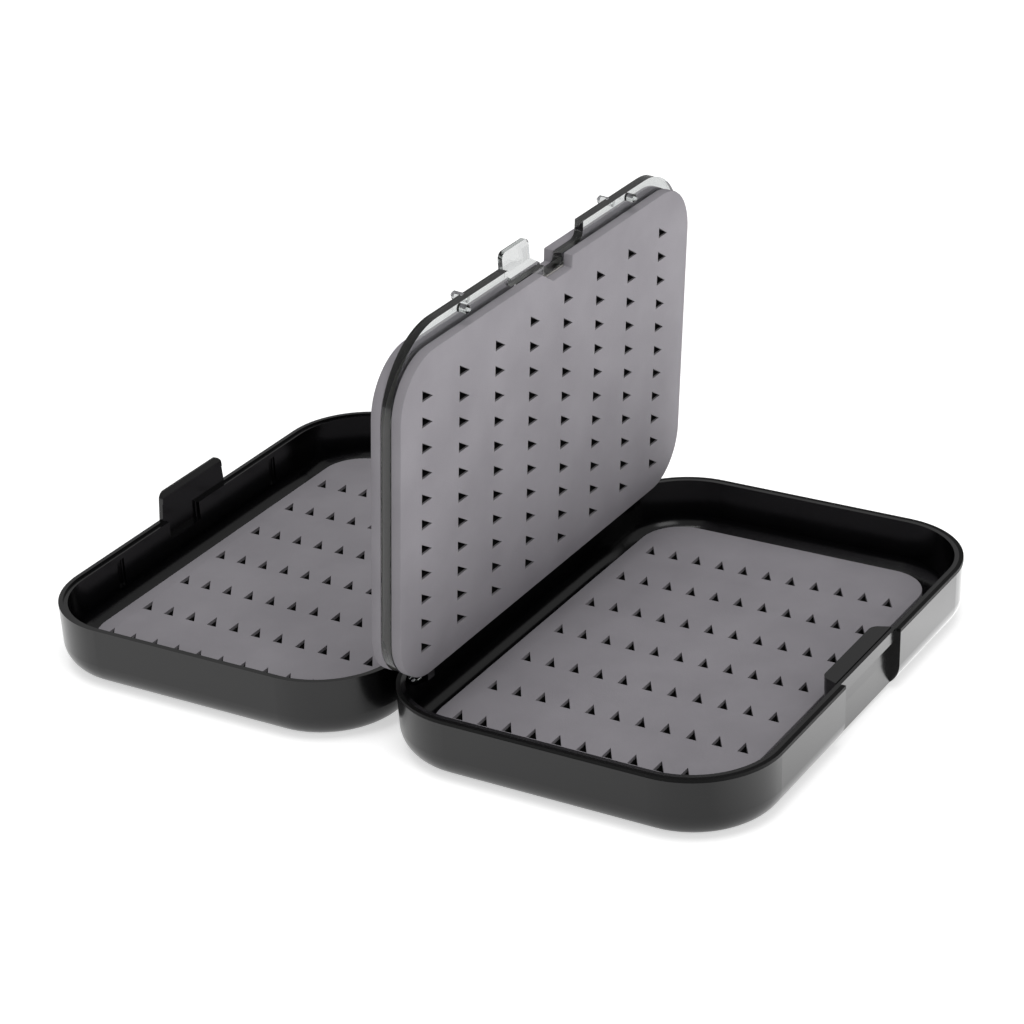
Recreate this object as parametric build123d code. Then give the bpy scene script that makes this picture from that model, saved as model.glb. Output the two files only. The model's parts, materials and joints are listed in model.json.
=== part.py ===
"""Fly box, lying open: two moulded trays hinged like a book, with a clear leaf between them.

The base tray is on the +X side and the lid tray on the -X side.  Both hold a pad of slit
foam.  The leaf is a clear plate with slit foam on both faces.  It turns on the base tray,
just inside the hinge wall, and stands nearly upright while the box is open.

Frame: +Y runs along the hinge, +Z is up, and Z = 0 is the plane that both trays lie on.
The origin is the middle of the open box on that plane.  Millimetres and degrees.
"""

import os

from build123d import *

# Trays: size, wall and rounding
TRAY_LENGTH = 150.0
TRAY_WIDTH = 103.6
TRAY_HEIGHT = 17.5
CORNER_RADIUS = 23.5
FOOT_RADIUS = 7.0
FOOT_RADIUS_INSIDE = 4.5
WALL = 2.4
FLOOR = 2.4
DRAFT = 1.5

# Rims: the base has a lip inside a rubber seal, the lid a lip outside a ledge
LIP_WIDTH = 1.2
SEAL_DEPTH = 0.9
SEAL_PLAY = 0.05
LEDGE_DEPTH = 0.6
CLOSING_GAP = 0.2

# Hinge between the trays
HINGE_SETBACK = 1.0
HINGE_PLACE = 34.0
HINGE_LENGTH = 20.0
BARREL_RADIUS = 2.0
BARREL_RELIEF = 0.3
KNUCKLE_GAP = 0.3
GUSSET_HEIGHT = 5.0
PIN_RADIUS = 0.6
PIN_CLEARANCE = 0.05

# Latch: a springy tongue on the lid and a catch block with a recess on the base
TONGUE_LENGTH = 8.0
TONGUE_ROOT_WIDTH = 29.2
TONGUE_TIP_WIDTH = 27.4
TONGUE_THICKNESS = 1.2
TONGUE_TIP_RADIUS = 2.2
TONGUE_FOOT_RADIUS = 1.2
TONGUE_CLEARANCE = 0.2
HOOK_DEPTH = 0.2
HOOK_HEIGHT = 1.8
HOOK_FROM_TIP = 1.4
RECESS_LENGTH = 32.4
BAND_HEIGHT = 3.3
CATCH_DEPTH = 1.6
CATCH_SLOPE = 3.4
RECESS_DEPTH = 2.9
BLOCK_ROOT_LENGTH = 34.0
BLOCK_FACE_LENGTH = 29.0
BLOCK_ROUNDING = 2.6
PARTING_GROOVE = 0.4

# Shallow guides in the latch walls, in line with the studs of the leaf
GUIDE_WIDTH = 3.0
GUIDE_DEPTH = 0.6
GUIDE_BELOW_RIM = 2.0

# Foam pads of the trays and the film of adhesive under every pad
PAD_THICKNESS = 5.0
PAD_CORNER = 11.5
PAD_FROM_HINGE_WALL = 7.9
PAD_FROM_LATCH_WALL = 8.2
PAD_FROM_SIDE_WALL = 9.6
TAPE = 0.2
TAPE_INSET = 1.5

# Slits: small right-angled triangles cut into the foam, all pointing toward +Y
SLIT_BASE = 3.0
SLIT_LENGTH = 4.7
SLIT_PITCH_ALONG = 16.8
PAD_SLIT_PITCH_ACROSS = 7.06
PAD_SLIT_COLUMNS = 11
PAD_SLIT_ROWS = 7
PAD_SLIT_DEPTH = 3.6
PAD_SLIT_MARGIN = 6.4
BASE_SLIT_FROM_END = 6.7
LID_SLIT_FROM_END = 3.4
LEAF_SLIT_PITCH_ACROSS = 6.84
LEAF_SLIT_COLUMNS = 11
LEAF_SLIT_ROWS = 8
LEAF_SLIT_DEPTH = 2.0
LEAF_SLIT_MARGIN = 8.6
LEAF_SLIT_FROM_END = 11.0

# Leaf: a clear plate with thinner pads, leaning a little toward the base when it stands
LEAF_PIVOT_INSET = 6.9
LEAF_LEAN = 4.1
LEAF_PLATE = 2.5
LEAF_PAD = 2.8
LEAF_FROM_LATCH_WALL = 0.3
LEAF_FROM_SIDE_WALL = 0.6
LEAF_FOOT_CORNER = 14.0
LEAF_PAD_CORNER = 17.0
LEAF_START = 2.1
LEAF_PAD_FROM_EDGE = 2.2
NOTCH_WIDTH = 37.5
NOTCH_SHOULDER = 8.0
NOTCH_DEPTH = 5.0
NOTCH_FROM_BLOCK = 0.4
SLOT_DEPTH = 2.6
SLOT_ROUNDING = 1.6
SLOT_START = -1.0
SLOT_END = 8.0
PAD_SLOT_DEPTH = 4.6
PAD_SLOT_START = -5.0
PAD_SLOT_SLOPE = 6.5
PAD_SLOT_END = 8.5

# Lift tab on the leaf, cranked away from the plate, and its pocket in the lid's wall
TAB_START = -12.8
TAB_WIDTH = 13.0
TAB_THICKNESS = 1.3
TAB_CRANK = 3.5
TAB_LIFT = 1.2
TAB_PANEL = 4.8
TAB_LEAN = 0.6
TAB_CORNER = 1.8
TAB_CLEARANCE = 0.5

# Studs that space the leaf from the trays: one pair faces the base, the other the lid
BASE_STUD_PLACE = 41.5
LID_STUD_PLACE = 36.0
STUD_RADIUS = 1.1
STUD_HEIGHT = 3.0
STUD_BEVEL = 0.6

# Bearings of the leaf: ears on the base, lugs with trunnions on the plate
EAR_FROM_SIDE_WALL = 20.2
EAR_WIDTH = 3.0
EAR_RADIUS = 1.7
EAR_WEB = 2.6
EAR_ROOT = 6.0
EAR_CLEARANCE = 0.3
LUG_WIDTH = 3.8
LUG_RADIUS = 1.4
TRUNNION_RADIUS = 1.0
TRUNNION_CLEARANCE = 0.06

# Places that follow from the sizes above
AXIS_HEIGHT = TRAY_HEIGHT + CLOSING_GAP / 2
TRAY_CENTRE = HINGE_SETBACK + TRAY_WIDTH / 2
OUTER_FACE = HINGE_SETBACK + TRAY_WIDTH
INNER_HINGE_FACE = HINGE_SETBACK + WALL
INNER_LATCH_FACE = OUTER_FACE - WALL
INNER_LENGTH = TRAY_LENGTH - 2 * WALL
PAD_START = INNER_HINGE_FACE + PAD_FROM_HINGE_WALL
PAD_WIDTH = INNER_LATCH_FACE - PAD_FROM_LATCH_WALL - PAD_START
PAD_LENGTH = INNER_LENGTH - 2 * PAD_FROM_SIDE_WALL
PAD_BED = FLOOR + TAPE
TONGUE_FACE = OUTER_FACE - TONGUE_THICKNESS
BAND_FACE = TONGUE_FACE - TONGUE_CLEARANCE
LEAF_AXIS = Axis((LEAF_PIVOT_INSET, 0, AXIS_HEIGHT), (0, 1, 0))
LEAF_FOLD = 90 - LEAF_LEAN
LEAF_REACH = INNER_LATCH_FACE - LEAF_FROM_LATCH_WALL - LEAF_PIVOT_INSET
LEAF_LENGTH = INNER_LENGTH - 2 * LEAF_FROM_SIDE_WALL
LEAF_CORNER = CORNER_RADIUS - WALL - LEAF_FROM_SIDE_WALL
LEAF_PAD_REACH = LEAF_REACH - LEAF_PAD_FROM_EDGE
NOTCH_REACH = LEAF_REACH - NOTCH_DEPTH
TAB_TIP = NOTCH_REACH + TAB_LIFT + TAB_PANEL
BLOCK_FACE = LEAF_PIVOT_INSET + NOTCH_REACH + NOTCH_FROM_BLOCK
BLOCK_ROOT = OUTER_FACE - LIP_WIDTH
EAR_START = INNER_LENGTH / 2 - EAR_FROM_SIDE_WALL
HINGES = (("near", -HINGE_PLACE), ("far", HINGE_PLACE))


# ------------------------------------------------------------------ helpers
def plan_rectangle(x_start, width, length, radius):
    """A rounded rectangle in plan, from x_start toward +X and centred on Y = 0."""
    return Pos(x_start + width / 2, 0) * RectangleRounded(width, length, radius)


def cylinder_along_y(x, z, radius, y_start, y_end):
    """A round bar along Y."""
    place = Plane(origin=(x, y_start, z), z_dir=(0, 1, 0))
    return extrude(place * Circle(radius), amount=y_end - y_start)


def prism_along_y(points, y_start, y_end):
    """A prism along Y with a polygon of (x, z) points as its section."""
    corners = [(x, y_start, z) for x, z in points]
    return extrude(make_face(Polyline(corners, close=True)), amount=y_end - y_start, dir=(0, 1, 0))


def box_between(x_span, y_span, z_span):
    """A box given by its limits."""
    size = [span[1] - span[0] for span in (x_span, y_span, z_span)]
    middle = [sum(span) / 2 for span in (x_span, y_span, z_span)]
    return Pos(*middle) * Box(*size)


def on_lid_side(shape):
    """The same shape on the lid's side of the hinge."""
    return mirror(shape, about=Plane.YZ)


def stand_up(shape):
    """Turn a leaf piece from its folded place to where it stands when the box is open."""
    return shape.rotate(LEAF_AXIS, -LEAF_FOLD)


# ------------------------------------------------------------------ trays
def tray_block(inset, depth, foot_radius):
    """A drafted block under the rim plane, set in from the outer wall and rounded at its foot."""
    rim_plane = Plane(origin=(TRAY_CENTRE, 0, TRAY_HEIGHT), x_dir=(1, 0, 0), z_dir=(0, 0, -1))
    outline = RectangleRounded(TRAY_WIDTH - 2 * inset, TRAY_LENGTH - 2 * inset, CORNER_RADIUS - inset)
    block = extrude(rim_plane * outline, amount=depth, taper=DRAFT)
    return fillet(block.edges().group_by(Axis.Z)[0], foot_radius)


def rim_slab(inset, depth):
    """Everything within an inset of the rim's outline, from the rim plane down."""
    outline = plan_rectangle(
        HINGE_SETBACK + inset, TRAY_WIDTH - 2 * inset, TRAY_LENGTH - 2 * inset, CORNER_RADIUS - inset
    )
    return extrude(Pos(0, 0, TRAY_HEIGHT) * outline, amount=-depth)


def stud_guides(place):
    """Cutters for the two shallow upright guides in a latch wall."""
    face = INNER_LATCH_FACE
    guide = box_between(
        (face - WALL, face + GUIDE_DEPTH),
        (-GUIDE_WIDTH / 2, GUIDE_WIDTH / 2),
        (PAD_BED + PAD_THICKNESS, TRAY_HEIGHT - GUIDE_BELOW_RIM),
    )
    guide = fillet(guide.edges().filter_by(Axis.Z).group_by(Axis.X)[-1], GUIDE_DEPTH * 0.8)
    return [Pos(0, side * place, 0) * guide for side in (-1, 1)]


def knuckle_spans(middle, on_base):
    """Y limits of one tray's knuckles in a hinge: the base has the outer two, the lid the inner."""
    third = HINGE_LENGTH / 3
    start = middle - HINGE_LENGTH / 2
    half_gap = KNUCKLE_GAP / 2
    if on_base:
        return [(start, start + third - half_gap), (start + 2 * third + half_gap, start + 3 * third)]
    return [(start + third + half_gap, start + 2 * third - half_gap)]


def knuckle(y_start, y_end):
    """A hinge barrel and the gusset that carries it, on the base's side."""
    barrel = cylinder_along_y(0, AXIS_HEIGHT, BARREL_RADIUS, y_start, y_end)
    inside_wall = HINGE_SETBACK + WALL / 2
    gusset = prism_along_y(
        [
            (PIN_RADIUS - BARREL_RADIUS / 2, AXIS_HEIGHT),
            (inside_wall, TRAY_HEIGHT),
            (inside_wall, AXIS_HEIGHT - GUSSET_HEIGHT),
            (HINGE_SETBACK, AXIS_HEIGHT - GUSSET_HEIGHT),
        ],
        y_start,
        y_end,
    )
    return barrel + gusset


def add_hinge(tray, on_base):
    """Add one tray's knuckles and make room for the other tray's."""
    for _, middle in HINGES:
        start = middle - HINGE_LENGTH / 2 - KNUCKLE_GAP
        end = middle + HINGE_LENGTH / 2 + KNUCKLE_GAP
        tray -= cylinder_along_y(0, AXIS_HEIGHT, BARREL_RADIUS + BARREL_RELIEF, start, end)
        for y_start, y_end in knuckle_spans(middle, on_base):
            tray += knuckle(y_start, y_end)
        tray -= cylinder_along_y(0, AXIS_HEIGHT, PIN_RADIUS + PIN_CLEARANCE, start, end)
    return tray


def hinge_pin(middle):
    """A steel pin through the three knuckles of a hinge."""
    return cylinder_along_y(
        0, AXIS_HEIGHT, PIN_RADIUS, middle - HINGE_LENGTH / 2, middle + HINGE_LENGTH / 2
    )


def block_outline(clearance=0.0):
    """Plan of the catch block with sharp corners, or of the room it needs."""
    half_face = BLOCK_FACE_LENGTH / 2 + clearance
    half_root = BLOCK_ROOT_LENGTH / 2 + clearance
    corners = [
        (BLOCK_FACE - clearance, -half_face),
        (BLOCK_FACE - clearance, half_face),
        (BLOCK_ROOT, half_root),
        (BLOCK_ROOT, -half_root),
    ]
    return make_face(Polyline(corners, close=True))


def catch_block():
    """The solid block behind the latch recess, splayed toward the wall, with rounded ends."""
    outline = fillet(block_outline().vertices().group_by(Axis.X)[0], BLOCK_ROUNDING)
    return extrude(Pos(0, 0, FLOOR / 2) * outline, amount=TRAY_HEIGHT - FLOOR / 2)


def latch_recess():
    """Cutter for the recess: an upright band at the top, and the catch undercut below it."""
    band_foot = TRAY_HEIGHT - BAND_HEIGHT
    catch_foot = band_foot - CATCH_DEPTH
    beyond = OUTER_FACE + WALL
    cutter = prism_along_y(
        [
            (beyond, TRAY_HEIGHT + WALL),
            (BAND_FACE, TRAY_HEIGHT + WALL),
            (BAND_FACE, band_foot),
            (BAND_FACE - CATCH_DEPTH, catch_foot),
            (OUTER_FACE - RECESS_DEPTH, catch_foot - CATCH_SLOPE),
            (OUTER_FACE - RECESS_DEPTH, -WALL),
            (beyond, -WALL),
        ],
        -RECESS_LENGTH / 2,
        RECESS_LENGTH / 2,
    )
    return cutter


def parting_groove():
    """Cutter for the fine groove between the lip and the top of the catch block."""
    return box_between(
        (INNER_LATCH_FACE - PARTING_GROOVE, INNER_LATCH_FACE),
        (-BLOCK_ROOT_LENGTH / 2, BLOCK_ROOT_LENGTH / 2),
        (TRAY_HEIGHT - PARTING_GROOVE, TRAY_HEIGHT),
    )


def seal_gaps():
    """Where the seal is left out: at the latch recess and along the hinge."""
    hinge_end = HINGE_PLACE + HINGE_LENGTH / 2 + KNUCKLE_GAP
    heights = (TRAY_HEIGHT - SEAL_DEPTH * 2, TRAY_HEIGHT + SEAL_DEPTH)
    at_latch = box_between(
        (TRAY_CENTRE, OUTER_FACE + WALL), (-RECESS_LENGTH / 2, RECESS_LENGTH / 2), heights
    )
    at_hinge = box_between((0, TRAY_CENTRE), (-hinge_end, hinge_end), heights)
    return [at_latch, at_hinge]


def seal_rebate():
    """Cutter for the step outside the base's lip that the rubber seal lies in."""
    return rim_slab(-WALL, SEAL_DEPTH) - rim_slab(LIP_WIDTH, SEAL_DEPTH) - seal_gaps()


def ear(side):
    """A bearing ear inside the base's hinge wall, bored for the leaf's trunnion."""
    edges = sorted((side * EAR_START, side * (EAR_START + EAR_WIDTH)))
    in_wall = INNER_HINGE_FACE - (WALL - LIP_WIDTH) / 2
    front = LEAF_PIVOT_INSET + EAR_RADIUS
    shape = cylinder_along_y(LEAF_PIVOT_INSET, AXIS_HEIGHT, EAR_RADIUS, *edges)
    shape += prism_along_y(
        [
            (in_wall, TRAY_HEIGHT),
            (LEAF_PIVOT_INSET, TRAY_HEIGHT),
            (front, AXIS_HEIGHT),
            (front, AXIS_HEIGHT - EAR_WEB),
            (in_wall, AXIS_HEIGHT - EAR_ROOT),
        ],
        *edges,
    )
    bore = TRUNNION_RADIUS + TRUNNION_CLEARANCE
    return shape - cylinder_along_y(LEAF_PIVOT_INSET, AXIS_HEIGHT, bore, *edges)


def ear_relief(side):
    """Cutter that clears a base ear from the closed lid's hinge wall, on the base's side."""
    edges = sorted(
        (side * (EAR_START - EAR_CLEARANCE), side * (EAR_START + EAR_WIDTH + EAR_CLEARANCE))
    )
    return cylinder_along_y(LEAF_PIVOT_INSET, AXIS_HEIGHT, EAR_RADIUS + EAR_CLEARANCE, *edges)


def tray_base():
    """The base tray with its lip, latch recess, catch block, knuckles and ears."""
    outside = tray_block(0, TRAY_HEIGHT, FOOT_RADIUS)
    tray = outside - tray_block(WALL, TRAY_HEIGHT - FLOOR, FOOT_RADIUS_INSIDE)
    tray -= stud_guides(BASE_STUD_PLACE)
    tray += catch_block() & outside
    tray -= latch_recess()
    tray -= parting_groove()
    tray -= seal_rebate()
    tray = add_hinge(tray, on_base=True)
    for side in (-1, 1):
        tray += ear(side)
    return tray


def rim_seal():
    """The two rubber strips in the base's rebate, from the latch round to the hinge."""
    ring = rim_slab(SEAL_PLAY, SEAL_DEPTH) - rim_slab(LIP_WIDTH - SEAL_PLAY, SEAL_DEPTH)
    return ring - seal_gaps()


def tongue():
    """The springy latch tongue above the lid's outer wall, with its hook and lead-in."""
    foot = TRAY_HEIGHT - TONGUE_FOOT_RADIUS
    tip = TRAY_HEIGHT + TONGUE_LENGTH
    outline = make_face(
        Polyline(
            [
                (OUTER_FACE, -TONGUE_ROOT_WIDTH / 2, foot),
                (OUTER_FACE, TONGUE_ROOT_WIDTH / 2, foot),
                (OUTER_FACE, TONGUE_TIP_WIDTH / 2, tip),
                (OUTER_FACE, -TONGUE_TIP_WIDTH / 2, tip),
            ],
            close=True,
        )
    )
    blade = extrude(outline, amount=TONGUE_THICKNESS + HOOK_DEPTH, dir=(-1, 0, 0))
    tips = blade.edges().filter_by(Axis.X).group_by(Axis.Z)[-1]
    blade = fillet(tips, TONGUE_TIP_RADIUS)
    hook_foot = tip - HOOK_FROM_TIP - HOOK_HEIGHT
    blade -= box_between(
        (OUTER_FACE - TONGUE_THICKNESS * 2, TONGUE_FACE),
        (-TONGUE_ROOT_WIDTH, TONGUE_ROOT_WIDTH),
        (foot, hook_foot),
    )
    lead_in = prism_along_y(
        [
            (TONGUE_FACE - HOOK_DEPTH, tip - HOOK_FROM_TIP),
            (TONGUE_FACE + TONGUE_THICKNESS / 2, tip),
            (TONGUE_FACE - HOOK_DEPTH, tip),
        ],
        -TONGUE_ROOT_WIDTH,
        TONGUE_ROOT_WIDTH,
    )
    return blade - lead_in


def tab_pocket():
    """Cutter for the pocket in the lid's latch wall that clears the leaf's lift tab."""
    depth = LEAF_PLATE / 2 + TAB_CRANK + TAB_LEAN + TAB_CLEARANCE
    pocket = box_between(
        (INNER_LATCH_FACE - WALL, LEAF_PIVOT_INSET + TAB_TIP + TAB_CLEARANCE),
        (TAB_START - TAB_CLEARANCE, TAB_START + TAB_WIDTH + TAB_CLEARANCE),
        (TRAY_HEIGHT - depth, TRAY_HEIGHT + WALL),
    )
    return fillet(pocket.edges().filter_by(Axis.Z).group_by(Axis.X)[-1], TAB_CLEARANCE)


def tray_lid():
    """The lid tray with its ledge, latch tongue and knuckles, as it lies open."""
    tray = tray_block(0, TRAY_HEIGHT, FOOT_RADIUS)
    tray -= tray_block(WALL, TRAY_HEIGHT - FLOOR, FOOT_RADIUS_INSIDE)
    tray -= stud_guides(LID_STUD_PLACE)
    tray -= tab_pocket()
    tray -= rim_slab(LIP_WIDTH, LEDGE_DEPTH)
    tray += tongue()
    tray = add_hinge(tray, on_base=False)
    for side in (-1, 1):
        tray -= ear_relief(side)
    return on_lid_side(tray)


# ------------------------------------------------------------------ slit foam
def slits(x_start, y_start, columns, rows, pitch, upright_end):
    """Right-angled triangles in plan on a grid; their upright side is at one end of the base."""
    near = upright_end * SLIT_BASE / 3
    far = -upright_end * SLIT_BASE * 2 / 3
    return [
        make_face(Polyline([(x + near, y), (x + far, y), (x + near, y + SLIT_LENGTH)], close=True))
        for x in (x_start + column * pitch for column in range(columns))
        for y in (y_start + row * SLIT_PITCH_ALONG - SLIT_LENGTH / 3 for row in range(rows))
    ]


def tray_pad(slit_from_end, upright_end):
    """A slit foam pad on the floor of a tray."""
    top = PAD_BED + PAD_THICKNESS
    outline = plan_rectangle(PAD_START, PAD_WIDTH, PAD_LENGTH, PAD_CORNER)
    pad = extrude(Pos(0, 0, PAD_BED) * outline, amount=PAD_THICKNESS)
    pattern = slits(
        PAD_START + PAD_SLIT_MARGIN,
        slit_from_end - PAD_LENGTH / 2,
        PAD_SLIT_COLUMNS,
        PAD_SLIT_ROWS,
        PAD_SLIT_PITCH_ACROSS,
        upright_end,
    )
    return pad - [extrude(Pos(0, 0, top) * slit, amount=-PAD_SLIT_DEPTH) for slit in pattern]


def tray_tape():
    """The film of adhesive between a pad and the tray's floor."""
    outline = plan_rectangle(
        PAD_START + TAPE_INSET,
        PAD_WIDTH - 2 * TAPE_INSET,
        PAD_LENGTH - 2 * TAPE_INSET,
        PAD_CORNER - TAPE_INSET,
    )
    return extrude(Pos(0, 0, FLOOR) * outline, amount=TAPE)


# ------------------------------------------------------------------ leaf, drawn folded into the base
def leaf_outline(reach, corner, inset=0.0):
    """The outline of a leaf layer up to its reach, with tighter corners at its foot."""
    start = LEAF_PIVOT_INSET + LEAF_START + inset
    width = LEAF_PIVOT_INSET + reach - inset - start
    outline = Pos(start + width / 2, 0) * Rectangle(width, LEAF_LENGTH - 2 * inset)
    outline = fillet(outline.vertices().group_by(Axis.X)[0], LEAF_FOOT_CORNER - inset)
    return fillet(outline.vertices().group_by(Axis.X)[-1], corner - inset)


def latch_notch():
    """Plan of the wide notch that clears the catch block, with curved shoulders."""
    floor_line = LEAF_PIVOT_INSET + NOTCH_REACH
    mouth_line = LEAF_PIVOT_INSET + LEAF_REACH
    half = NOTCH_WIDTH / 2
    inner_half = half - NOTCH_SHOULDER / 2
    knee = (floor_line + mouth_line) / 2
    return make_face(
        [
            Line((floor_line, -inner_half), (floor_line, inner_half)),
            Spline([(floor_line, inner_half), (knee, half)], tangents=[(0, 1), (1, 0)]),
            Line((knee, half), (mouth_line + WALL, half)),
            Line((mouth_line + WALL, half), (mouth_line + WALL, -half)),
            Line((mouth_line + WALL, -half), (knee, -half)),
            Spline([(knee, -half), (floor_line, -inner_half)], tangents=[(-1, 0), (0, 1)]),
        ]
    )


def plate_slot():
    """Plan of the deeper slot in the plate beside the lift tab."""
    start = LEAF_PIVOT_INSET + NOTCH_REACH - SLOT_DEPTH
    length = LEAF_REACH - NOTCH_REACH + SLOT_DEPTH
    middle = (SLOT_START + SLOT_END) / 2
    slot = Pos(start + length / 2, middle) * Rectangle(length, SLOT_END - SLOT_START)
    return fillet(slot.vertices().group_by(Axis.X)[0], SLOT_ROUNDING)


def pad_slot(start, slope):
    """Plan of the cut in a leaf pad's outer edge, which may start with a slope."""
    edge = LEAF_PIVOT_INSET + LEAF_PAD_REACH
    floor_line = edge - PAD_SLOT_DEPTH
    corners = [
        (edge + WALL, start - slope),
        (edge, start - slope),
        (floor_line, start),
        (floor_line, PAD_SLOT_END),
        (edge + WALL, PAD_SLOT_END),
    ]
    return make_face(Polyline(corners, close=True))


def lift_tab():
    """The cranked tab: a ramp away from the plate's lid side, then an upright panel."""
    root = LEAF_PIVOT_INSET + NOTCH_REACH
    face = AXIS_HEIGHT + LEAF_PLATE / 2
    bend = root + TAB_LIFT
    tip = LEAF_PIVOT_INSET + TAB_TIP
    crank = face + TAB_CRANK
    tab = prism_along_y(
        [
            (root - TAB_THICKNESS, face - TAB_THICKNESS / 2),
            (root, face - TAB_THICKNESS / 2),
            (bend - TAB_THICKNESS / 2, crank - TAB_THICKNESS),
            (tip, crank - TAB_THICKNESS + TAB_LEAN),
            (tip, crank + TAB_LEAN),
            (bend - TAB_THICKNESS, crank),
        ],
        TAB_START,
        TAB_START + TAB_WIDTH,
    )
    corners = tab.edges().filter_by(Axis.Z, tolerance=1).group_by(Axis.X)[-1]
    return fillet(corners, TAB_CORNER)


def stud(place, facing):
    """A post with a bevelled end at the plate's edge: facing -1 for the base, +1 for the lid."""
    post = extrude(Circle(STUD_RADIUS), amount=facing * (LEAF_PLATE / 2 + STUD_HEIGHT))
    end = post.edges().sort_by(Axis.Z)[-1 if facing > 0 else 0]
    post = chamfer(end, STUD_BEVEL)
    return Pos(LEAF_PIVOT_INSET + LEAF_REACH - STUD_RADIUS, place, AXIS_HEIGHT) * post


def lug(side):
    """A lug at the foot of the plate, with a trunnion that turns in the base's ear."""
    inner = EAR_START + EAR_WIDTH + EAR_CLEARANCE
    edges = sorted((side * inner, side * (inner + LUG_WIDTH)))
    half = LEAF_PLATE / 2
    shape = cylinder_along_y(LEAF_PIVOT_INSET, AXIS_HEIGHT, LUG_RADIUS, *edges)
    shape += box_between(
        (LEAF_PIVOT_INSET, LEAF_PIVOT_INSET + LEAF_START + LEAF_PLATE),
        edges,
        (AXIS_HEIGHT - half, AXIS_HEIGHT + half),
    )
    trunnion = sorted((side * EAR_START, side * (inner + LUG_WIDTH / 2)))
    return shape + cylinder_along_y(LEAF_PIVOT_INSET, AXIS_HEIGHT, TRUNNION_RADIUS, *trunnion)


def leaf_plate():
    """The clear plate with its notch, slot, tab, studs, lugs and trunnions."""
    outline = leaf_outline(LEAF_REACH, LEAF_CORNER) - latch_notch() - plate_slot()
    plate = extrude(Pos(0, 0, AXIS_HEIGHT) * outline, amount=LEAF_PLATE / 2, both=True)
    plate += lift_tab()
    for side in (-1, 1):
        plate += stud(side * BASE_STUD_PLACE, -1)
        plate += stud(side * LID_STUD_PLACE, 1)
        plate += lug(side)
    return stand_up(plate)


def leaf_pad(side):
    """A slit pad on one face of the plate: -1 faces the base when folded, +1 the lid."""
    bed = AXIS_HEIGHT + side * (LEAF_PLATE / 2 + TAPE)
    outline = leaf_outline(LEAF_PAD_REACH, LEAF_PAD_CORNER)
    if side < 0:
        outline -= pad_slot(PAD_SLOT_START, PAD_SLOT_SLOPE)
        outline -= block_outline(NOTCH_FROM_BLOCK)
    else:
        outline -= pad_slot(TAB_START - TAB_CLEARANCE, 0)
    pad = extrude(Pos(0, 0, bed) * outline, amount=side * LEAF_PAD)
    face = bed + side * LEAF_PAD
    pattern = slits(
        LEAF_PIVOT_INSET + LEAF_START + LEAF_SLIT_MARGIN,
        LEAF_SLIT_FROM_END - LEAF_LENGTH / 2,
        LEAF_SLIT_COLUMNS,
        LEAF_SLIT_ROWS,
        LEAF_SLIT_PITCH_ACROSS,
        -1,
    )
    pad -= [extrude(Pos(0, 0, face) * slit, amount=-side * LEAF_SLIT_DEPTH) for slit in pattern]
    return stand_up(pad)


def leaf_tape(side):
    """The film of adhesive between the plate and one of its pads."""
    bed = AXIS_HEIGHT + side * LEAF_PLATE / 2
    outline = leaf_outline(LEAF_PAD_REACH - PAD_SLOT_DEPTH, LEAF_PAD_CORNER, TAPE_INSET)
    return stand_up(extrude(Pos(0, 0, bed) * outline, amount=side * TAPE))


# ------------------------------------------------------------------ assembly
def main():
    """Write every piece of the fly box to its own file."""
    os.makedirs("parts", exist_ok=True)
    pieces = {
        "tray_base": tray_base(),
        "rim_seal": rim_seal(),
        "tape_base": tray_tape(),
        "foam_base": tray_pad(BASE_SLIT_FROM_END, -1),
        "tray_lid": tray_lid(),
        "tape_lid": on_lid_side(tray_tape()),
        "foam_lid": on_lid_side(tray_pad(LID_SLIT_FROM_END, 1)),
        "leaf_plate": leaf_plate(),
        "tape_leaf_front": leaf_tape(-1),
        "foam_leaf_front": leaf_pad(-1),
        "tape_leaf_back": leaf_tape(1),
        "foam_leaf_back": leaf_pad(1),
    }
    for name, middle in HINGES:
        pieces[f"hinge_pin_{name}"] = hinge_pin(middle)
    for name, shape in pieces.items():
        export_step(shape, f"parts/{name}.step")


if __name__ == "__main__":
    main()
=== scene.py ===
"""Fly box, open like a book: the finish of every piece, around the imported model."""

import json
import math

import bpy
from mathutils import Matrix, Vector


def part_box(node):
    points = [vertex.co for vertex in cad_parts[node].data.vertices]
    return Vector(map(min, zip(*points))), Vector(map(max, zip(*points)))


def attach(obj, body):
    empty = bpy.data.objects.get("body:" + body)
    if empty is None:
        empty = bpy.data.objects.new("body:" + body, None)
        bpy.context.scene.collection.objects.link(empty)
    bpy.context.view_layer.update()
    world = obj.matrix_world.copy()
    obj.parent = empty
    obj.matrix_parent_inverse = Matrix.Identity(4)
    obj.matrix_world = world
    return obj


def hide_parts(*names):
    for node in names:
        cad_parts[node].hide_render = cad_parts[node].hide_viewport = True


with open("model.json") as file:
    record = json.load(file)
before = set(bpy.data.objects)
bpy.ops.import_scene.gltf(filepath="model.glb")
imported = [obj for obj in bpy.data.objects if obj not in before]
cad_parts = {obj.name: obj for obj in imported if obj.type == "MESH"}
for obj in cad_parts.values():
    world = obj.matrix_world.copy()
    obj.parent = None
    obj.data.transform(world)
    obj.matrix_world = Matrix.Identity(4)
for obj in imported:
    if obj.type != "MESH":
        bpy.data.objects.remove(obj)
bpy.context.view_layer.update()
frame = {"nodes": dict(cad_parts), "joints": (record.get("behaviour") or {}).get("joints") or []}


# ---------------------------------------------------------------- tray_base and tray_lid
# The two trays are injection-moulded in black ABS.  The tool is polished, so the skin is
# glossy with a faint orange peel, and it picks up fine rubs from being handled.
MM = 0.001
RUB_LENGTH = 15 * MM
PEEL_WIDTH = 4 * MM


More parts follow.
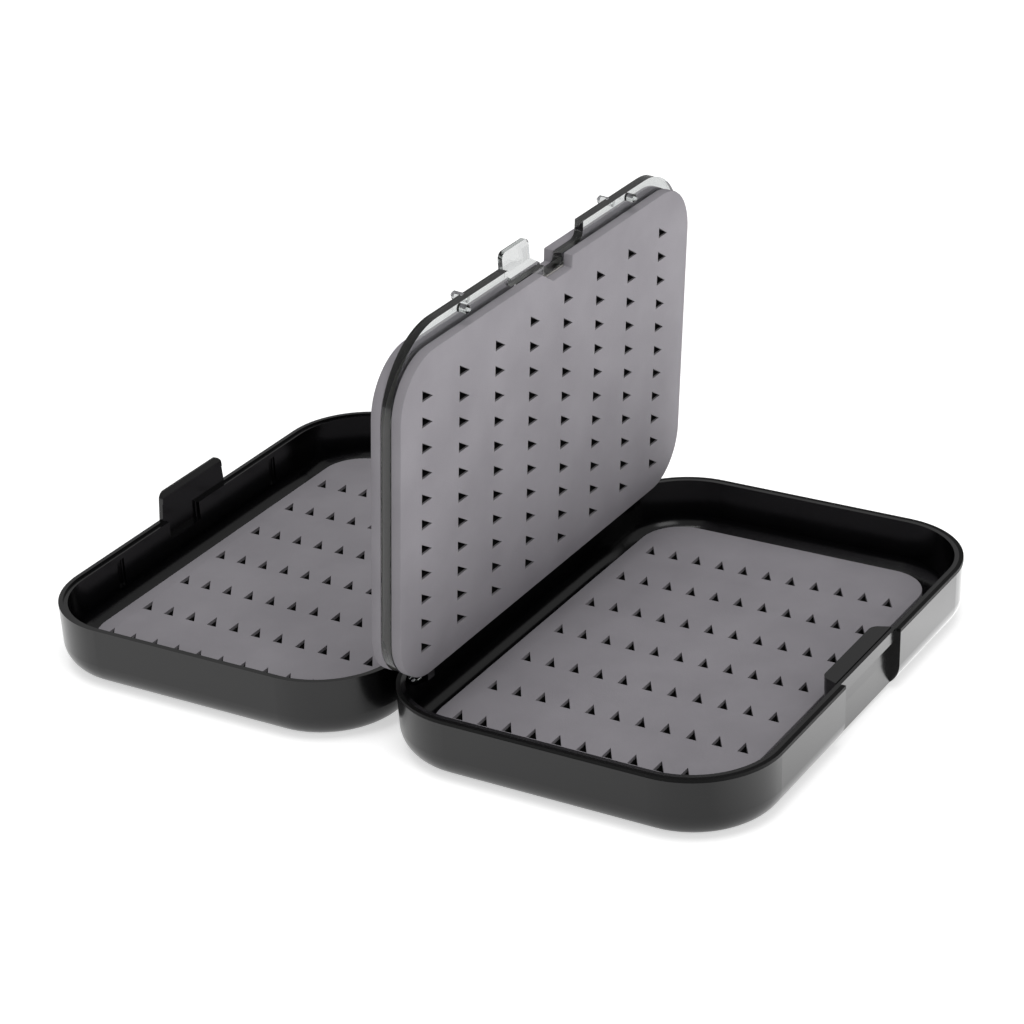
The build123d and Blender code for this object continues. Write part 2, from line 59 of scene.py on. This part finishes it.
def linear(hex_colour):
    """An sRGB hex colour as linear red, green, blue and alpha."""
    parts = [int(hex_colour[i : i + 2], 16) / 255 for i in (1, 3, 5)]
    return [p / 12.92 if p <= 0.04045 else ((p + 0.055) / 1.055) ** 2.4 for p in parts] + [1.0]


def add_node(owner, kind, settings=None, links=None):
    """Add a shader node, set its sockets or properties, and link its inputs.

    A socket goes by its name, or by its number where two have the same name.
    """
    tree = owner.node_tree
    node = tree.nodes.new(kind)
    for name, value in (settings or {}).items():
        if isinstance(name, int) or name in node.inputs:
            node.inputs[name].default_value = value
        else:
            setattr(node, name, value)
    for name, output in (links or {}).items():
        tree.links.new(output, node.inputs[name])
    return node


def new_material(name, **sockets):
    """A material with one Principled shader, whose constant sockets are set here."""
    material = bpy.data.materials.new(name)
    material.use_nodes = True
    shader = material.node_tree.nodes["Principled BSDF"]
    for socket, value in sockets.items():
        shader.inputs[socket.replace("_", " ")].default_value = value
    place = add_node(material, "ShaderNodeTexCoord").outputs["Object"]
    return material, shader, place


def link(owner, output, node, socket):
    """Link an output to a socket of a node that is there already."""
    owner.node_tree.links.new(output, node.inputs[socket])


def moulded_abs():
    """Moulded black ABS: a glossy skin, waved by orange peel and dulled in patches by rubs."""
    material, shader, place = new_material(
        "moulded_black_abs", IOR=1.54, Specular_IOR_Level=0.4
    )
    rubs = add_node(
        material, "ShaderNodeTexNoise", {"Scale": 1 / RUB_LENGTH, "Detail": 5.0}, {"Vector": place}
    )
    tone = add_node(material, "ShaderNodeValToRGB", links={"Fac": rubs.outputs["Fac"]})
    tone.color_ramp.elements[0].color = linear("#030304")
    tone.color_ramp.elements[1].color = linear("#080809")
    link(material, tone.outputs["Color"], shader, "Base Color")
    roughness = add_node(
        material,
        "ShaderNodeMapRange",
        {"To Min": 0.14, "To Max": 0.24},
        {"Value": rubs.outputs["Fac"]},
    )
    link(material, roughness.outputs["Result"], shader, "Roughness")
    peel = add_node(
        material, "ShaderNodeTexNoise", {"Scale": 1 / PEEL_WIDTH, "Detail": 2.0}, {"Vector": place}
    )
    bump = add_node(
        material,
        "ShaderNodeBump",
        {"Strength": 0.03, "Distance": 0.1 * MM},
        {"Height": peel.outputs["Fac"]},
    )
    link(material, bump.outputs["Normal"], shader, "Normal")
    return material


def dress(node, material):
    """Give a carried-over piece its finish."""
    mesh = frame["nodes"][node].data
    mesh.materials.clear()
    mesh.materials.append(material)


black_abs = moulded_abs()
for tray in ("tray_base", "tray_lid"):
    dress(tray, black_abs)


# ---------------------------------------------------------------- rim_seal
# Strips of soft black rubber laid in the step of the base's rim.  They are matt and slightly
# grainy, so they read as a dark line beside the glossy lip.
SEAL_GRAIN = 0.3 * MM


def moulded_rubber():
    """Moulded black rubber: matt, with a fine grain that breaks up what little it reflects."""
    material, shader, place = new_material(
        "moulded_rubber", Roughness=0.5, IOR=1.5, Specular_IOR_Level=0.12
    )
    grain = add_node(
        material, "ShaderNodeTexNoise", {"Scale": 1 / SEAL_GRAIN, "Detail": 3.0}, {"Vector": place}
    )
    tone = add_node(material, "ShaderNodeValToRGB", links={"Fac": grain.outputs["Fac"]})
    tone.color_ramp.elements[0].color = linear("#020202")
    tone.color_ramp.elements[1].color = linear("#050505")
    link(material, tone.outputs["Color"], shader, "Base Color")
    bump = add_node(
        material,
        "ShaderNodeBump",
        {"Strength": 0.3, "Distance": 0.05 * MM},
        {"Height": grain.outputs["Fac"]},
    )
    link(material, bump.outputs["Normal"], shader, "Normal")
    return material


dress("rim_seal", moulded_rubber())


# ---------------------------------------------------------------- hinge_pin_near, hinge_pin_far
# Straight pins cut from drawn steel wire and pressed through the knuckles of each hinge.
# They end flush with the knuckles, so almost nothing of them shows.
DRAW_MARK = 0.1 * MM
DRAW_STRETCH = 50


def drawn_steel():
    """Drawn steel: bright, with fine marks that run along the wire."""
    material, shader, place = new_material(
        "drawn_steel", Metallic=1.0, Base_Color=linear("#b9babd")
    )
    across = add_node(
        material, "ShaderNodeMapping", {"Scale": (1.0, 1 / DRAW_STRETCH, 1.0)}, {"Vector": place}
    )
    marks = add_node(
        material,
        "ShaderNodeTexNoise",
        {"Scale": 1 / DRAW_MARK, "Detail": 2.0},
        {"Vector": across.outputs["Vector"]},
    )
    roughness = add_node(
        material,
        "ShaderNodeMapRange",
        {"To Min": 0.22, "To Max": 0.4},
        {"Value": marks.outputs["Fac"]},
    )
    link(material, roughness.outputs["Result"], shader, "Roughness")
    return material


steel = drawn_steel()
for pin in ("hinge_pin_near", "hinge_pin_far"):
    dress(pin, steel)


# ---------------------------------------------------------------- adhesive films
# Thin double-sided tape holds each foam pad down, one film under each.  It is cut a little
# smaller than its pad, so it hardly shows.
FILM_MOTTLE = 1 * MM


def adhesive_film():
    """Adhesive film: milky, with the mottle of glue that has not wetted everywhere."""
    material, shader, place = new_material("adhesive_film", Roughness=0.5, IOR=1.47)
    mottle = add_node(
        material, "ShaderNodeTexNoise", {"Scale": 1 / FILM_MOTTLE, "Detail": 3.0}, {"Vector": place}
    )
    tone = add_node(material, "ShaderNodeValToRGB", links={"Fac": mottle.outputs["Fac"]})
    tone.color_ramp.elements[0].color = linear("#b4b2ae")
    tone.color_ramp.elements[1].color = linear("#c6c4c0")
    link(material, tone.outputs["Color"], shader, "Base Color")
    return material


film = adhesive_film()
for tape in ("tape_base", "tape_lid", "tape_leaf_front", "tape_leaf_back"):
    dress(tape, film)


# ---------------------------------------------------------------- leaf_plate
# The plate between the trays is moulded in clear styrene, with its tab, studs and lugs in
# one piece.  It is polished on both sides, and its lugs turn in the two ears of the base.
MOULD_RIPPLE = 12 * MM


def clear_styrene():
    """Clear styrene: see-through, with a faint ripple that bends what lies behind it.

    Light that runs along inside the plate is swallowed, so its narrow edges look dark.
    """
    material, shader, place = new_material(
        "clear_styrene",
        IOR=1.57,
        Specular_IOR_Level=0.3,
        Roughness=0.03,
        Transmission_Weight=1.0,
        Base_Color=linear("#fdfefe"),
    )
    ripple = add_node(
        material,
        "ShaderNodeTexNoise",
        {"Scale": 1 / MOULD_RIPPLE, "Detail": 1.0},
        {"Vector": place},
    )
    bump = add_node(
        material,
        "ShaderNodeBump",
        {"Strength": 0.04, "Distance": 0.3 * MM},
        {"Height": ripple.outputs["Fac"]},
    )
    link(material, bump.outputs["Normal"], shader, "Normal")
    tint = add_node(
        material, "ShaderNodeVolumeAbsorption", {"Color": linear("#b8bdbb"), "Density": 160.0}
    )
    link(material, tint.outputs["Volume"], material.node_tree.nodes["Material Output"], "Volume")
    return material


dress("leaf_plate", clear_styrene())


# ---------------------------------------------------------------- foam_base, foam_lid
# Pads die-cut from sheets of grey closed-cell EVA foam and stuck to the floor of each tray.
# Rows of small triangles are punched in them, and the hooks are pushed in there.
FOAM_CELL = 0.4 * MM
FOAM_MOTTLE = 18 * MM

CUT_EDGE = 0.35 * MM
SHARP_ANGLE = math.radians(60)
SMOOTH_ANGLE = math.radians(40)
CORNER_FACES = 14
CLOSE = 0.01 * MM

SLIT_BASE = 3.0 * MM
SLIT_LENGTH = 4.7 * MM
ROW_PITCH = 16.8 * MM
PUNCH_PROUD = 0.1 * MM
LIT_SHARE = 0.25
MOUTH_TAPER = 0.95
DEPTH_TAPER = 0.8


def eva_foam(name, dark, light):
    """Closed-cell EVA foam: matt, finely pitted by its cells, with a soft mottle in its grey.

    The real cells are finer: these are drawn as coarse as they need to be to show.
    """
    material, shader, place = new_material(name, Roughness=0.85, IOR=1.4)
    mottle = add_node(
        material, "ShaderNodeTexNoise", {"Scale": 1 / FOAM_MOTTLE, "Detail": 4.0}, {"Vector": place}
    )
    tone = add_node(material, "ShaderNodeValToRGB", links={"Fac": mottle.outputs["Fac"]})
    tone.color_ramp.elements[0].position = 0.3
    tone.color_ramp.elements[0].color = linear(dark)
    tone.color_ramp.elements[1].position = 0.7
    tone.color_ramp.elements[1].color = linear(light)
    link(material, tone.outputs["Color"], shader, "Base Color")
    cells = add_node(
        material, "ShaderNodeTexVoronoi", {"Scale": 1 / FOAM_CELL}, {"Vector": place}
    )
    bump = add_node(
        material,
        "ShaderNodeBump",
        {"Strength": 0.25, "Distance": 0.08 * MM},
        {"Height": cells.outputs["Distance"]},
    )
    link(material, bump.outputs["Normal"], shader, "Normal")
    return material


# A slit's cut walls are drawn in a darker grey, as a cut face of the foam is; below its mouth the
# slit is painted near-black, a painted shade for its depth.
foam_skin = eva_foam("eva_foam_skin", "#88858a", "#918e93")
foam_cut = eva_foam("eva_foam_cut", "#7a777b", "#858286")
foam_painted_shade = eva_foam("eva_foam_painted_shade", "#050505", "#0a090a")


def select_only(piece):
    """Make a piece the one that is active and selected."""
    bpy.ops.object.select_all(action="DESELECT")
    bpy.context.view_layer.objects.active = piece
    piece.select_set(True)


def apply_modifier(piece, kind, **settings):
    """Add a modifier and apply it."""
    select_only(piece)
    modifier = piece.modifiers.new(kind.lower(), kind)
    for name, value in settings.items():
        setattr(modifier, name, value)
    bpy.ops.object.modifier_apply(modifier=modifier.name)


def round_corners(piece, radius, test):
    """Round the upright edges whose place passes a test."""
    select_only(piece)
    bpy.context.tool_settings.mesh_select_mode = (False, True, False)
    mesh = piece.data
    for part in (mesh.vertices, mesh.edges, mesh.polygons):
        part.foreach_set("select", [False] * len(part))
    for edge in mesh.edges:
        a, b = (mesh.vertices[i].co for i in edge.vertices)
        edge.select = (a - b).xy.length < CLOSE and test(a)
    bpy.ops.object.mode_set(mode="EDIT")
    bpy.ops.mesh.bevel(offset=radius, segments=CORNER_FACES, affect="EDGES")
    bpy.ops.object.mode_set(mode="OBJECT")


def foam_slab(name, low, high, inner_radius, outer_radius):
    """A slab of foam between two corners, with the radii of its -X and +X ends."""
    bpy.ops.object.select_all(action="DESELECT")
    middle, size = (low + high) / 2, high - low
    bpy.ops.mesh.primitive_cube_add(size=1, location=middle, scale=size)
    slab = bpy.context.object
    slab.name = slab.data.name = name
    bpy.ops.object.transform_apply(location=True, rotation=True, scale=True)
    round_corners(slab, inner_radius, lambda place: place.x < low.x + CLOSE)
    round_corners(slab, outer_radius, lambda place: place.x > high.x - CLOSE)
    slab.data.materials.append(foam_skin)
    return slab


def ease_edges(slab):
    """Take the sharpness off the die-cut edges."""
    apply_modifier(
        slab, "BEVEL", width=CUT_EDGE, segments=2, limit_method="ANGLE", angle_limit=SHARP_ANGLE
    )


def cut_with(piece, cutter):
    """Cut one mesh with another and remove the cutter."""
    apply_modifier(
        piece,
        "BOOLEAN",
        operation="DIFFERENCE",
        solver="EXACT",
        object=cutter,
        material_mode="TRANSFER",
    )
    bpy.data.objects.remove(cutter)


def prism(corners, start, steps):
    """A prism on a plan of corners, grown in one or two steps of rise, taper and material."""
    bpy.ops.object.select_all(action="DESELECT")
    bpy.ops.mesh.primitive_circle_add(vertices=len(corners), fill_type="NGON")
    shape = bpy.context.object
    for vertex, (x, y) in zip(shape.data.vertices, corners):
        vertex.co = (x, y, start)
    middle = [sum(corner[i] for corner in corners) / len(corners) for i in (0, 1)]
    rises, tapers, materials = zip(*steps)
    bpy.ops.object.mode_set(mode="EDIT")
    bpy.ops.mesh.select_all(action="SELECT")
    height = start
    for rise, taper in zip(rises, tapers):
        height += rise
        bpy.ops.mesh.extrude_region_move(TRANSFORM_OT_translate={"value": (0, 0, rise)})
        bpy.ops.transform.resize(value=(taper, taper, 1), center_override=(*middle, height))
    bpy.ops.mesh.select_all(action="SELECT")
    bpy.ops.mesh.normals_make_consistent(inside=False)
    bpy.ops.object.mode_set(mode="OBJECT")
    for material in materials:
        shape.data.materials.append(material)
    for face in shape.data.polygons:
        if abs(face.center.z - start) > abs(rises[0]):
            face.material_index = len(materials) - 1
    return shape


def punch_slits(pad, place, side, grid, depth):
    """Punch a grid of right-angled triangles, the first with its middle at a place."""
    left, right = place.x - SLIT_BASE / 3, place.x + SLIT_BASE * 2 / 3
    foot = place.y - SLIT_LENGTH / 3
    corners = [(left, foot), (right, foot), (left, foot + SLIT_LENGTH)]
    proud, lit = side * PUNCH_PROUD, -side * LIT_SHARE * depth
    # The mouth keeps the cut-wall grey; the rest of the slit's depth is the near-black painted
    # shade.
    steps = ((lit - proud, MOUTH_TAPER, foam_cut), (-side * depth - lit, DEPTH_TAPER, foam_painted_shade))
    punch = prism(corners, place.z + proud, steps)
    for count, step in grid:
        apply_modifier(
            punch,
            "ARRAY",
            count=count,
            use_relative_offset=False,
            use_constant_offset=True,
            constant_offset_displace=step,
        )
    cut_with(pad, punch)


def finish_pad(pad, body, node):
    """Smooth the round edges of a pad and set it in place of its plain solid."""
    select_only(pad)
    bpy.ops.object.shade_smooth_by_angle(angle=SMOOTH_ANGLE)
    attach(pad, body)
    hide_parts(node)


# Each pad reaches 3 mm closer to the near wall than its plain solid.  Its columns of slits
# are counted from the hinge, and the lid's rows start 3.3 mm nearer than the base's.
PAD_CORNER = 11.5 * MM
PAD_NEAR_REACH = 3.0 * MM
PAD_COLUMNS, PAD_ROWS = 11, 7
PAD_COLUMN_PITCH = 7.06 * MM
PAD_SLIT_DEPTH = 3.6 * MM
FIRST_COLUMN = 17.7 * MM

for body, node, toward, first_row in (
    ("base", "foam_base", 1, -56.3 * MM),
    ("lid", "foam_lid", -1, -59.6 * MM),
):
    low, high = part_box(node)
    low.y -= PAD_NEAR_REACH
    pad = foam_slab(node + "_pad", low, high, PAD_CORNER, PAD_CORNER)
    ease_edges(pad)
    grid = ((PAD_COLUMNS, (toward * PAD_COLUMN_PITCH, 0, 0)), (PAD_ROWS, (0, ROW_PITCH, 0)))
    place = Vector((toward * FIRST_COLUMN, first_row, high.z))
    punch_slits(pad, place, 1, grid, PAD_SLIT_DEPTH)
    finish_pad(pad, body, node)


# ---------------------------------------------------------------- foam_leaf_front, foam_leaf_back
# Thinner pads of the same foam on both faces of the plate.  They end level with the floor
# of its notch, where they are cut back beside the tab.  Drawn folded flat, then stood up.
leaf_joint = next(joint for joint in frame["joints"] if joint["name"] == "leaf_hinge")
PIVOT = Vector(leaf_joint["pos_m"])
FOLD = math.radians(leaf_joint["range_deg"][1])
STAND = Matrix.Translation(PIVOT) @ Matrix.Rotation(-FOLD, 4, "Y") @ Matrix.Translation(-PIVOT)
LEAF_HALF_LENGTH = 72.0 * MM
LEAF_PAD_CORNERS = (14.0 * MM, 15.0 * MM)
LEAF_PAD_START = 2.1 * MM
LEAF_PAD_REACH = 90.1 * MM
LEAF_BED = 1.45 * MM
LEAF_PAD = 2.8 * MM
LEAF_COLUMNS, LEAF_ROWS = 11, 8
LEAF_COLUMN_PITCH = 6.84 * MM
LEAF_FIRST_COLUMN, LEAF_FIRST_ROW = 10.7 * MM, -61.0 * MM
LEAF_SLIT_DEPTH = 2.2 * MM
PAD_SLOT_DEPTH = 3.5 * MM
PAD_SLOT_END = 8.4 * MM

# Each pad's slot has a start on the line of the notch's floor, and flares over its depth.
for side, node, slot_start, flare in (
    (-1, "foam_leaf_front", -1.0 * MM, 5.6 * MM),
    (1, "foam_leaf_back", -13.3 * MM, 0.0),
):
    bed = PIVOT.z + side * LEAF_BED
    face = bed + side * LEAF_PAD
    low = Vector((PIVOT.x + LEAF_PAD_START, -LEAF_HALF_LENGTH, min(bed, face)))
    high = Vector((PIVOT.x + LEAF_PAD_REACH, LEAF_HALF_LENGTH, max(bed, face)))
    pad = foam_slab(node + "_pad", low, high, *LEAF_PAD_CORNERS)
    floor_line, beyond = high.x - PAD_SLOT_DEPTH, high.x + PAD_SLOT_DEPTH
    corners = [
        (beyond, slot_start - 2 * flare),
        (floor_line, slot_start),
        (floor_line, PAD_SLOT_END),
        (beyond, PAD_SLOT_END),
    ]
    cut_with(pad, prism(corners, low.z - LEAF_PAD, ((3 * LEAF_PAD, 1, foam_skin),)))
    ease_edges(pad)
    grid = ((LEAF_COLUMNS, (LEAF_COLUMN_PITCH, 0, 0)), (LEAF_ROWS, (0, ROW_PITCH, 0)))
    place = Vector((PIVOT.x + LEAF_FIRST_COLUMN, LEAF_FIRST_ROW, face))
    punch_slits(pad, place, side, grid, LEAF_SLIT_DEPTH)
    pad.data.transform(STAND)
    finish_pad(pad, "leaf", node)


# ---------------------------------------------------------------- floor, light and camera
# The box stands on white paper under two soft boxes.  The paper glows, more towards its far
# right, and the foam, the gloss and the clear plate each pick up their own share of that.
FLOOR_SIZE = 8
FLOOR_DROP = 0.2 * MM
WHITE = (1, 1, 1, 1)
GLOW_LINE = (1.0, 0.7, 0.0)
GLOW_START, GLOW_END = -0.05, 0.25
GLOW_TOP = 4.0

bpy.ops.object.select_all(action="DESELECT")
bpy.ops.mesh.primitive_plane_add(size=FLOOR_SIZE, location=(0, 0, -FLOOR_DROP))
floor = bpy.context.object
floor.name = "floor"
paper, paper_shader, paper_place = new_material(
    "white_paper",
    Base_Color=linear("#f2f2f2"),
    Roughness=0.9,
    Specular_IOR_Level=0.0,
    Emission_Color=WHITE,
)
floor.data.materials.append(paper)

world = bpy.data.worlds.new("studio")
bpy.context.scene.world = world
world.use_nodes = True
background = world.node_tree.nodes["Background"]
background.inputs["Color"].default_value = WHITE


def glow_along(owner, place, stops):
    """A glow given in stops, each a distance along the glow line and a strength."""
    along = add_node(
        owner, "ShaderNodeVectorMath", {"operation": "DOT_PRODUCT", 1: GLOW_LINE}, {0: place}
    )
    share = add_node(
        owner,
        "ShaderNodeMapRange",
        {"From Min": GLOW_START, "From Max": GLOW_END},
        {"Value": along.outputs["Value"]},
    )
    ramp = add_node(owner, "ShaderNodeValToRGB", links={"Fac": share.outputs["Result"]})
    for index, (where, glow) in enumerate(stops):
        position = (where - GLOW_START) / (GLOW_END - GLOW_START)
        if index < 2:
            stop = ramp.color_ramp.elements[index]
            stop.position = position
        else:
            stop = ramp.color_ramp.elements.new(position)
        stop.color = (glow / GLOW_TOP, glow / GLOW_TOP, glow / GLOW_TOP, 1)
    bright = add_node(
        owner, "ShaderNodeMath", {"operation": "MULTIPLY", 1: GLOW_TOP}, {0: ramp.outputs["Color"]}
    )
    return bright.outputs["Value"]


def sum_by_ray(owner, rest, parts):
    """A strength: a rest for every ray, and a number or a glow more for some kinds of ray."""
    path = add_node(owner, "ShaderNodeLightPath")
    for ray, amount in parts:
        settings, links = {"operation": "MULTIPLY_ADD"}, {0: path.outputs[ray]}
        for socket, value in ((1, amount), (2, rest)):
            (settings if isinstance(value, float) else links)[socket] = value
        rest = add_node(owner, "ShaderNodeMath", settings, links).outputs["Value"]
    return rest


# A ray that the clear plate bends counts as a glossy one too, so it gives back the glossy glow.
on_foam = glow_along(paper, paper_place, ((0.0, 0.15), (0.15, 2.0)))
in_gloss = glow_along(
    paper,
    paper_place,
    ((-0.05, 0.6), (0.05, 0.4), (0.105, 1.3), (0.15, 2.0), (0.18, 1.6), (0.24, 0.3)),
)
given_back = add_node(paper, "ShaderNodeMath", {"operation": "MULTIPLY", 1: -1.0}, {0: in_gloss})
paper_glow = sum_by_ray(
    paper,
    0.0,
    (
        ("Is Diffuse Ray", on_foam),
        ("Is Glossy Ray", in_gloss),
        ("Is Transmission Ray", given_back.outputs["Value"]),
        ("Is Transmission Ray", 0.2),
        ("Is Camera Ray", 0.55),
    ),
)
link(paper, paper_glow, paper_shader, "Emission Strength")
sky = sum_by_ray(world, 0.4, (("Is Camera Ray", 0.6), ("Is Transmission Ray", 0.35)))
link(world, sky, background, "Strength")


def soft_box(name, place, aim, size, power):
    """A square area lamp that points at a place."""
    lamp = bpy.data.lights.new(name, "AREA")
    lamp.size = size
    lamp.energy = power
    holder = bpy.data.objects.new(name, lamp)
    bpy.context.scene.collection.objects.link(holder)
    holder.location = place
    holder.rotation_euler = (Vector(aim) - Vector(place)).to_track_quat("-Z", "Y").to_euler()


soft_box("key", place=(1.2, -0.7, 0.7), aim=(0, 0, 0.04), size=0.7, power=3)
soft_box("fill", place=(0.2, -0.3, 1.7), aim=(0, 0, 0.03), size=1.2, power=12.8)

# The camera stands at the near right, a little above the open box.
CAMERA_PLACE = Vector((0.3807, -0.6119, 0.3850))
CAMERA_AIM = Vector((-0.0051, 0.0101, 0.0300))
CAMERA_ROLL = math.radians(-2.79)
SENSOR_WIDTH, LENS = 36, 107.68
camera = bpy.data.cameras.new("camera")
camera.sensor_width = SENSOR_WIDTH
camera.lens = LENS
holder = bpy.data.objects.new("camera", camera)
bpy.context.scene.collection.objects.link(holder)
look = (CAMERA_AIM - CAMERA_PLACE).to_track_quat("-Z", "Y").to_matrix().to_4x4()
holder.matrix_world = (
    Matrix.Translation(CAMERA_PLACE) @ look @ Matrix.Rotation(CAMERA_ROLL, 4, "Z")
)
bpy.context.scene.camera = holder
bpy.context.scene.view_settings.view_transform = "Standard"
